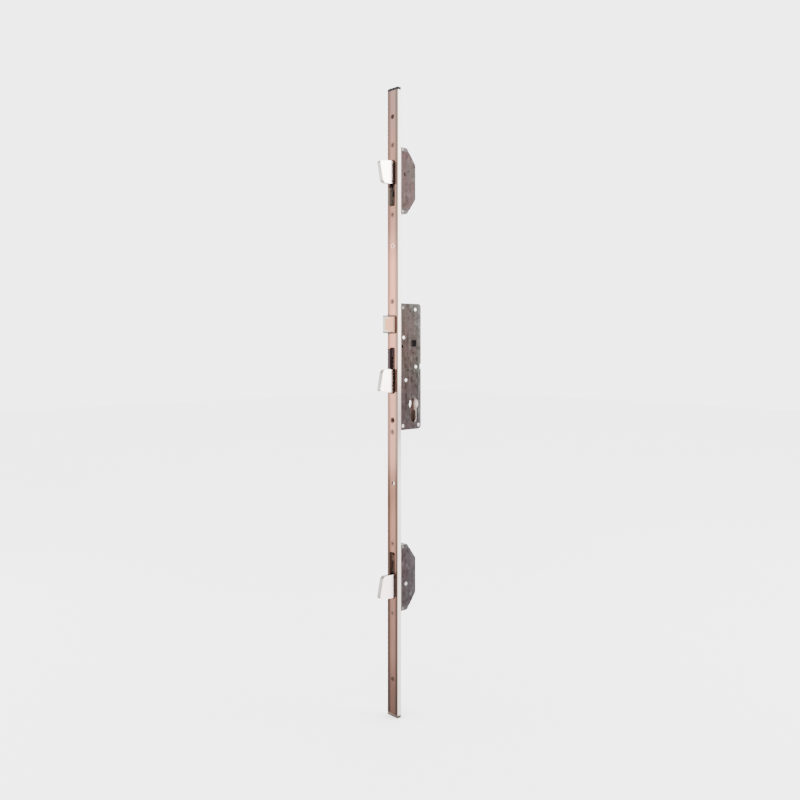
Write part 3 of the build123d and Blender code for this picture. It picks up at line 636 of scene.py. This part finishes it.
# The latch's head: a browned metal, only slightly shiny

latch_metal = metal(
    "latch_metal", (0.43, 0.190, 0.094), (0.53, 0.245, 0.128), (0.56, 0.47, 0.37), (0.34, 0.44),
    grain=0.3, mottle=70.0, metallic=0.3, radius=0.0005, wear=0.8, extra=latch_marks,
)

# The rivets and the hook pins: bright steel

rivet_steel = metal(
    "rivet_steel", (0.26, 0.245, 0.235), (0.36, 0.345, 0.335), (0.44, 0.42, 0.41), (0.20, 0.30),
    grain=0.3, mottle=220.0, radius=0.0002, wear=0.4, bump=0.04, extra=stained_rivets,
)

# The case screws and the wheel's axle: browned steel

screw_steel = metal(
    "screw_steel", (0.070, 0.035, 0.028), (0.105, 0.056, 0.045), (0.15, 0.096, 0.080), (0.34, 0.46),
    grain=0.3, mottle=220.0, radius=0.0002, wear=0.3, bump=0.04, extra=stained_axle,
)

# The drive bar: nearly black steel

bar_steel = metal(
    "bar_steel", (0.0075, 0.0042, 0.0032), (0.013, 0.0080, 0.0060), (0.03, 0.02, 0.015), (0.42, 0.58),
    wear=0.4, extra=slot_shade_and_tones, dull=matt_grease,
)

# The gears, racks, drive wheel and latch stem: grey steel

gear_steel = metal(
    "gear_steel", (0.06, 0.055, 0.05), (0.10, 0.094, 0.087), (0.20, 0.19, 0.18), (0.3, 0.45),
    grain_axis="Y", grain=0.4, mottle=90.0, radius=0.0002,
)

# The springs: plain steel wire

spring_steel = metal(
    "spring_steel", (0.10, 0.097, 0.094), (0.16, 0.155, 0.15), (0.26, 0.25, 0.24), (0.25, 0.4),
    grain=0.4, mottle=200.0, radius=0.0001, wear=0.3,
)

# The follower: dark greasy metal

follower_metal = metal(
    "follower_metal", (0.018, 0.0125, 0.012), (0.030, 0.0225, 0.0215), (0.050, 0.042, 0.040), (0.4, 0.55),
    grain_axis="Y", grain=0.3, mottle=120.0, wear=0.3, extra=dark_square,
)

# The end caps, screw spacers and bar guides: black plastic

black_plastic = plastic(
    "black_plastic", (0.004, 0.0037, 0.0037), (0.009, 0.0085, 0.0082), (0.42, 0.55), greasy_plastic,
)

finishes = {
    "faceplate_steel": strip_steel,
    "case_steel": case_steel,
    "hook_steel": hook_steel,
    "latch_metal": latch_metal,
    "rivet_steel": rivet_steel,
    "screw_steel": screw_steel,
    "bar_steel": bar_steel,
    "gear_steel": gear_steel,
    "spring_steel": spring_steel,
    "follower_metal": follower_metal,
    "black_plastic": black_plastic,
}
for subpart in frame["record"]["subparts"]:
    node = nodes[subpart["node"]]
    node.data.materials.clear()
    node.data.materials.append(finishes[subpart["material_slot"]])


# The latch spring, as a copy with its own mesh, attached to the case in place of the imported one

pressed = bpy.data.objects.new("latch_spring_coil", nodes["latch_spring"].data.copy())
bpy.context.scene.collection.objects.link(pressed)
pressed.matrix_world = nodes["latch_spring"].matrix_world.copy()
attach(pressed, "case")
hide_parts("latch_spring")
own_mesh(pressed)


# Floor

FLOOR_HALF = 6
FLOOR_TONE = (0.93, 0.93, 0.93)
FLOOR_ROUGHNESS = 0.9


def pale_matte():
    """A pale matt material with faint clouds."""
    graph = Graph("pale_floor")
    low = tuple(value * 0.985 for value in FLOOR_TONE)
    colour = graph.ramp(graph.noise(1.5, detail=2.0), [(0.3, low), (0.7, FLOOR_TONE)])
    graph.link(colour, graph.shader.inputs["Base Color"])
    graph.shader.inputs["Roughness"].default_value = FLOOR_ROUGHNESS
    return graph.material


def make_floor():
    """A large square floor, level with the strip's foot."""
    corners = [(x * FLOOR_HALF, y * FLOOR_HALF, FOOT) for x, y in ((-1, -1), (1, -1), (1, 1), (-1, 1))]
    mesh = bpy.data.meshes.new("floor")
    mesh.from_pydata(corners, [], [(0, 1, 2, 3)])
    mesh.materials.append(pale_matte())
    obj = bpy.data.objects.new("floor", mesh)
    bpy.context.scene.collection.objects.link(obj)


make_floor()


# Light

WORLD_STRENGTH = 4.5
LIT_POINT = Vector((0, 0, -0.05))

world = bpy.data.worlds.new("studio")
world.use_nodes = True
background = world.node_tree.nodes["Background"]
background.inputs["Color"].default_value = (1.0, 1.0, 1.0, 1)
background.inputs["Strength"].default_value = WORLD_STRENGTH
bpy.context.scene.world = world


def area_light(name, place, width, height, watts):
    """A soft rectangular light, unseen by the camera, that faces a point just below the spindle."""
    light = bpy.data.lights.new(name, "AREA")
    light.shape = "RECTANGLE"
    light.size = width
    light.size_y = height
    light.energy = watts
    lamp = bpy.data.objects.new(name, light)
    bpy.context.scene.collection.objects.link(lamp)
    lamp.location = place
    lamp.rotation_euler = (LIT_POINT - Vector(place)).to_track_quat("-Z", "Y").to_euler()
    lamp.visible_camera = False


area_light("key", (1.5, -1.7, 0.6), width=1.2, height=1.6, watts=60)
area_light("back", (-1.05, 1.1, -0.05), width=0.9, height=0.72, watts=16)


# Camera. It looks level at the middle of the strip's face at the spindle's height, which is at
# AIM_COLUMN and AIM_ROW in the picture. These, PICTURE and FOCAL are in pixels

PICTURE = 800
AIM_COLUMN = 392.4
AIM_ROW = 343.3
FOCAL = 839.7
SENSOR = 36.0
DISTANCE = 1.2
AZIMUTH = math.radians(-42.45)

look = Vector((-math.sin(AZIMUTH), math.cos(AZIMUTH), 0))
lens = bpy.data.cameras.new("camera")
lens.sensor_width = SENSOR
lens.lens = FOCAL / PICTURE * SENSOR
lens.shift_x = (PICTURE / 2 - AIM_COLUMN) / PICTURE
lens.shift_y = (AIM_ROW - PICTURE / 2) / PICTURE
lens.clip_start = 0.01
camera = bpy.data.objects.new("camera", lens)
bpy.context.scene.collection.objects.link(camera)
camera.location = Vector((FRONT, 0, 0)) - look * DISTANCE
camera.rotation_euler = look.to_track_quat("-Z", "Y").to_euler()
bpy.context.scene.camera = camera
